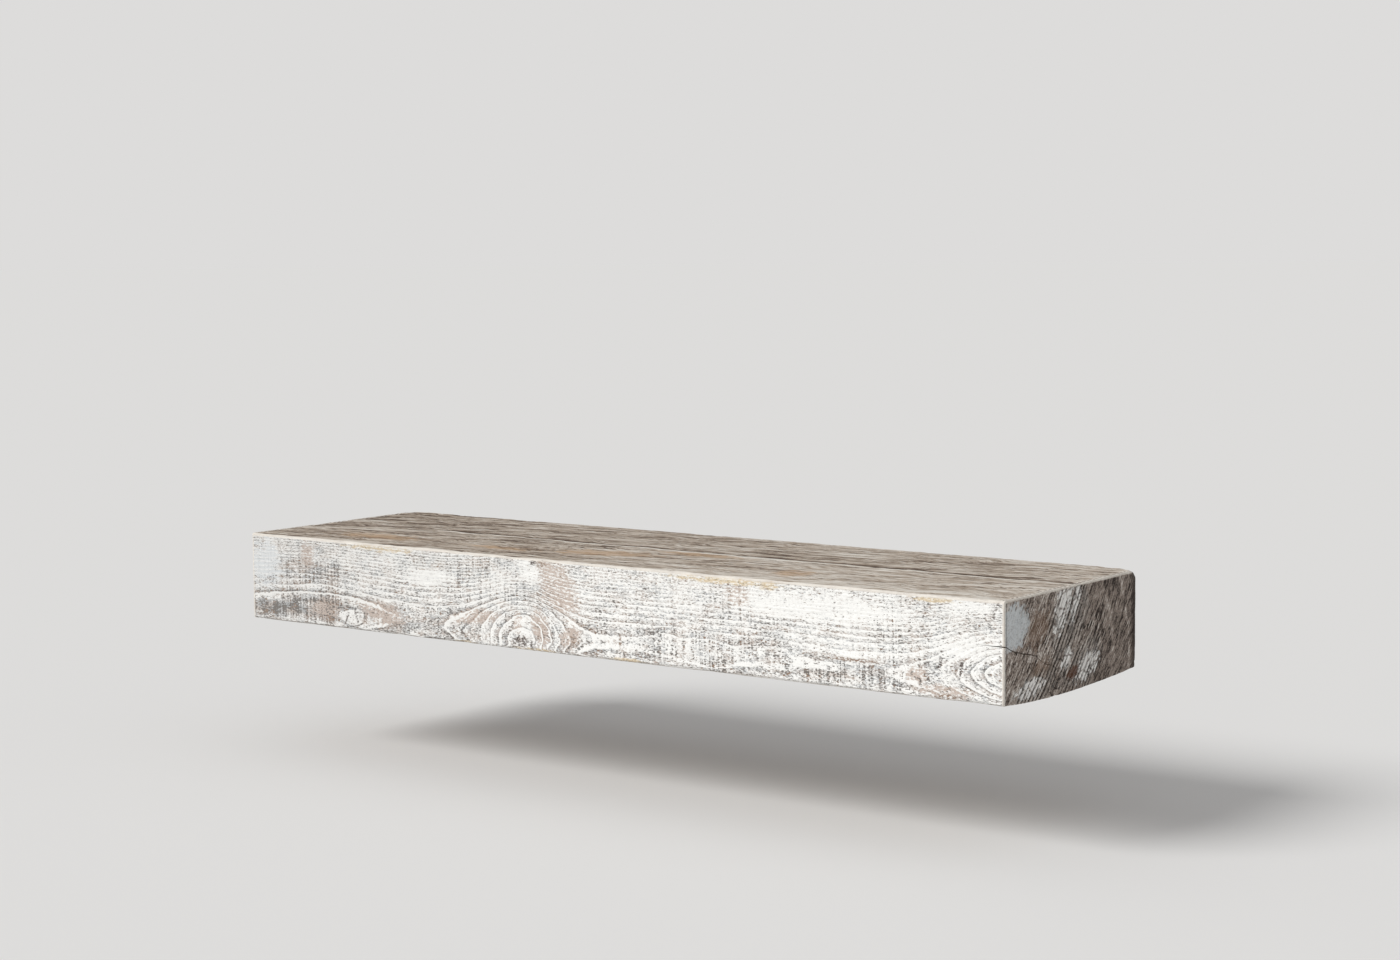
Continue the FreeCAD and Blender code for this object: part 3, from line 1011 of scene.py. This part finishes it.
def add_turned(work, outline, foot, along, across, sides=48):
    """A turned solid. The outline lists (radius, distance) pairs from foot, in millimetres."""
    third = along.cross(across)
    rings = []
    for radius, distance in outline:
        centre = foot + along * distance * MM
        if radius == 0:
            rings.append([work.verts.new(centre)] * sides)
            continue
        ring = []
        for side in range(sides):
            turned = 2 * math.pi * side / sides
            spoke = across * math.cos(turned) + third * math.sin(turned)
            ring.append(work.verts.new(centre + spoke * radius * MM))
        rings.append(ring)
    for first, second in zip(rings, rings[1:]):
        for side in range(sides):
            after = (side + 1) % sides
            corners = [first[side], first[after], second[after], second[side]]
            work.faces.new(list(dict.fromkeys(corners)))


# %% Recess and bores
BAR_LOW, BAR_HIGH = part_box("wall_bar")
RECESS_PLAY = 1.0
RECESS_CORNER = 4.0
RECESS_PAST_BACK = 5.0
ROD_PLAY = 0.3
BORE_SPARE = 6.0
BORE_TIP = 3.0
BORE_MOUTH = 1.5
BORE_START = -0.5
ROD_NODES = ["support_rod_%d" % number for number in range(1, 5)]


def rounded_rectangle(half_x, half_z, radius, y, steps=6):
    """Points round a rectangle with rounded corners that stands in a plane of constant y."""
    points = []
    for quarter, (side_x, side_z) in enumerate(((1, 1), (-1, 1), (-1, -1), (1, -1))):
        for step in range(steps + 1):
            turned = math.radians(90 * (quarter + step / steps))
            x = side_x * (half_x - radius) + radius * math.cos(turned)
            z = side_z * (half_z - radius) + radius * math.sin(turned)
            points.append(Vector((x, y, z)) * MM)
    return points


def build_recess(work):
    """The recess in the back, a little larger than the bar."""
    half_x = BAR_HIGH.x / MM + RECESS_PLAY
    half_z = BAR_HIGH.z / MM + RECESS_PLAY
    floor_y = BAR_LOW.y / MM - RECESS_PLAY
    at_floor = rounded_rectangle(half_x, half_z, RECESS_CORNER, floor_y)
    past_back = rounded_rectangle(half_x, half_z, RECESS_CORNER, RECESS_PAST_BACK)
    add_loft(work, at_floor, past_back)


def bore_for(node):
    """A bore with a chamfered mouth and a drill tip, a little wider and longer than its rod."""
    rod_low, rod_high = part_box(node)
    radius = (rod_high.z - rod_low.z) / 2 / MM + ROD_PLAY
    start = Vector(((rod_low.x + rod_high.x) / 2, BAR_LOW.y - RECESS_PLAY * MM, 0))
    depth = (start.y - rod_low.y) / MM + BORE_SPARE

    def build(work):
        wide = radius + BORE_MOUTH
        outline = [(0, BORE_START), (wide, BORE_START), (wide, 0), (radius, BORE_MOUTH)]
        outline += [(radius, depth), (0, depth + BORE_TIP)]
        add_turned(work, outline, start, Vector((0, -1, 0)), Vector((1, 0, 0)))
    return build


# %% Holes of the locking screws
INSERT_PLAY = 0.05
LOCK_RADIUS = 3.3
BELOW_FOOT = 2.0
INSERT_NODES = ["thread_insert_1", "thread_insert_2"]


def lock_hole_for(node):
    """A stepped hole from below: a pocket for the insert, then a way for the screw."""
    insert_low, insert_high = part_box(node)
    middle = (insert_low + insert_high) / 2
    radius = (insert_high.x - insert_low.x) / 2 / MM + INSERT_PLAY
    foot = Vector((middle.x, middle.y, low.z - BELOW_FOOT * MM))
    step = (insert_high.z - foot.z) / MM
    reach = -foot.z / MM

    def build(work):
        outline = [(0, 0), (radius, 0), (radius, step)]
        outline += [(LOCK_RADIUS, step), (LOCK_RADIUS, reach), (0, reach)]
        add_turned(work, outline, foot, Vector((0, 0, 1)), Vector((1, 0, 0)), sides=32)
    return build


# %% The drying check
CHECK_WIDTH = 1.0
CHECK_ROOT = 0.1
CHECK_DEPTH = 21.0
CHECK_PAST_END = 1.0
CHECK_PATH = [
    (-3.0, 5.2), (0.0, 5.3), (4.3, 4.4), (11.0, 1.4), (18.2, -1.4), (24.0, -2.2), (29.3, -3.9),
    (40.0, -5.6), (51.6, -8.8), (55.7, -12.3), (65.4, -16.6), (72.4, -18.2), (86.0, -24.0),
]


def check_ring(x, width):
    """The outline of the check at one depth: it narrows from the front face to its tip."""
    reach, tip_height = CHECK_PATH[-1]
    upper = []
    lower = []
    for behind, height in CHECK_PATH[:-1]:
        half = width * min(1 - 0.7 * behind / reach, 1) / 2
        upper.append(Vector((x, behind - DEPTH, height + half)) * MM)
        lower.append(Vector((x, behind - DEPTH, height - half)) * MM)
    return upper + [Vector((x, reach - DEPTH, tip_height)) * MM] + lower[::-1]


def build_check(work):
    """A wedge along the path: wide beyond the end of the plank and thin at its root."""
    root = check_ring(LENGTH / 2 - CHECK_DEPTH, CHECK_ROOT)
    mouth = check_ring(LENGTH / 2 + CHECK_PAST_END, CHECK_WIDTH)
    add_loft(work, root, mouth)


# %% All cutters
def made_cutters():
    """A collection of every solid that is taken out of the plank. It stays out of the scene."""
    builders = [build_recess, build_check]
    builders += [bore_for(node) for node in ROD_NODES]
    builders += [lock_hole_for(node) for node in INSERT_NODES]
    cutters = bpy.data.collections.new("cutters")
    for number, build in enumerate(builders):
        mesh_object("cutter_%d" % number, build, home=cutters)
    return cutters


# %% [markdown]
# The order of the modifiers matters: first the nodes make the grid, then it is thinned where it is
# nearly flat, and last the cutters go in, so that their edges stay crisp. The result is copied to
# a plain mesh, and what made it is removed.

# %% Make the plank
MOST_TRIANGLES = 186000
CREASE_DEGREES = 50


def add_modifiers(base, tree, cutters):
    """Gives an empty object the nodes, the thinning and the cut, in that order."""
    nodes = base.modifiers.new("weathered_plank", "NODES")
    nodes.node_group = tree
    for item in tree.interface.items_tree:
        if item.name in PLANK_SIZES:
            nodes[item.identifier] = PLANK_SIZES[item.name]
    thinned = base.modifiers.new("thinned", "DECIMATE")
    counted = 4 * (GRID[0] * GRID[1] + GRID[1] * GRID[2] + GRID[2] * GRID[0])
    thinned.ratio = MOST_TRIANGLES / counted
    cut = base.modifiers.new("cut", "BOOLEAN")
    cut.operation = "DIFFERENCE"
    cut.operand_type = "COLLECTION"
    cut.collection = cutters
    cut.solver = "MANIFOLD"


def made_plank():
    """The finished plank as a plain mesh."""
    finish = made_material("whitewashed_pine", plank_surface)
    cutters = made_cutters()
    base = add_object("plank_base", bpy.data.meshes.new("plank_base"))
    add_modifiers(base, plank_tree(finish), cutters)

    graph = bpy.context.evaluated_depsgraph_get()
    mesh = bpy.data.meshes.new_from_object(base.evaluated_get(graph))
    mesh.name = "whitewashed_plank"
    mesh.set_sharp_from_angle(angle=math.radians(CREASE_DEGREES))
    mesh.materials.clear()
    mesh.materials.append(finish)
    for used in [base, *cutters.objects]:
        bpy.data.objects.remove(used)
    bpy.data.collections.remove(cutters)
    mesh.calc_loop_triangles()
    print("whitewashed_plank:", len(mesh.loop_triangles), "triangles")
    return add_object("whitewashed_plank", mesh)


plank = made_plank()
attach(plank, "shelf")
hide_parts("shelf_beam")

# %% [markdown]
# ## Metal finishes
# The bar is powder coated, which leaves a fine orange peel. The rods are bright drawn steel, with
# faint lines along them. The screws are blackened, and the inserts are turned brass. All of them
# hide inside the plank until it is drawn off its rods.

# %% Metal finishes
PEEL_DISTANCE = 0.1 * MM


def metal_finish(name, colour, roughness, metallic, drawn=1.0):
    """A metal with cloudy colour and fine bumps, drawn out along y when it is drawn stock."""
    def surface_in(tree):
        place = object_place(tree)
        x, y, z = place.x, place.y, place.z
        cloud = place.noise(x / 9, y / 9 / drawn, z / 9, detail=3.0)
        fine = place.noise(x / 0.5, y / 0.5 / drawn, z / 0.5)
        darker = tuple(value * 0.6 for value in colour[:3]) + (1.0,)
        shade = blend((cloud.ramp(0.3, 0.7) + fine * 0.3 - 0.15).clamped(), darker, colour)
        rough = (cloud - 0.5) * 0.2 + roughness
        inputs = {"Strength": 0.3, "Distance": PEEL_DISTANCE, "Height": fine}
        bump = fine.node("ShaderNodeBump", {}, inputs)
        inputs = {"Base Color": shade, "Roughness": rough, "Metallic": metallic, "Normal": bump}
        return fine.node("ShaderNodeBsdfPrincipled", {}, inputs)
    return made_material(name, surface_in)


FINISHES = {
    "coated_bar": metal_finish("coated_bar", tone(46, 46, 47), 0.45, 0.0),
    "rod_steel": metal_finish("rod_steel", tone(190, 188, 184), 0.3, 1.0, drawn=30.0),
    "black_screws": metal_finish("black_screws", tone(58, 57, 56), 0.4, 0.8),
    "insert_brass": metal_finish("insert_brass", tone(206, 170, 98), 0.3, 1.0),
}
for part in frame["record"]["subparts"]:
    if part["material_slot"] in FINISHES:
        mesh = frame["nodes"][part["node"]].data
        mesh.materials.clear()
        mesh.materials.append(FINISHES[part["material_slot"]])

# %% [markdown]
# ## Floor and light
# A pale floor lies under the shelf and takes its shadow. The sky is an even grey, and one wide
# sun stands at the front left, so that the painted front is the brightest face and the end the
# darkest. Towards the camera the sky has the floor's own brightness, so that no horizon shows.

# %% Floor
FLOOR_Z = -0.16
FLOOR_RADIUS = 40.0
FLOOR_TONE = tone(238, 237, 235)
BACKDROP_TONE = tone(221, 220, 219)
SKY_LIGHT = (0.42, 0.42, 0.425, 1.0)
SUN_FROM = (-0.42, -0.66, 0.62)
SUN_POWER = 2.15
SUN_WIDTH = 28.0


def floor_surface(tree):
    """A matt surface without any shine."""
    inputs = {"Base Color": FLOOR_TONE, "Roughness": 1.0, "Specular IOR Level": 0.0}
    return Field(tree).node("ShaderNodeBsdfPrincipled", {}, inputs)


def build_floor(work):
    """A wide disc."""
    bmesh.ops.create_circle(work, cap_ends=True, segments=96, radius=FLOOR_RADIUS)
    bmesh.ops.translate(work, verts=work.verts, vec=(0, 0, FLOOR_Z))


floor = mesh_object("studio_floor", build_floor)
floor.data.materials.append(made_material("studio_floor", floor_surface))

# %% Sky and sun
SEEN_RAYS = ("Is Camera Ray", "Is Glossy Ray", "Is Transmission Ray")

world = bpy.data.worlds.new("studio")
world.use_nodes = True
bpy.context.scene.world = world
tree = world.node_tree
rays = Field(tree).node("ShaderNodeLightPath").socket.node
from_camera, glossy, through = (Field(tree, rays.outputs[name]) for name in SEEN_RAYS)
shade = blend((from_camera + glossy + through).clamped(), SKY_LIGHT, BACKDROP_TONE)
tree.links.new(shade.socket, tree.nodes["Background"].inputs["Color"])

sun = add_object("wide_sun", bpy.data.lights.new("wide_sun", "SUN"))
sun.data.energy = SUN_POWER
sun.data.angle = math.radians(SUN_WIDTH)
sun.rotation_euler = Vector(SUN_FROM).to_track_quat("Z", "Y").to_euler()
bpy.context.scene.view_settings.view_transform = "Standard"
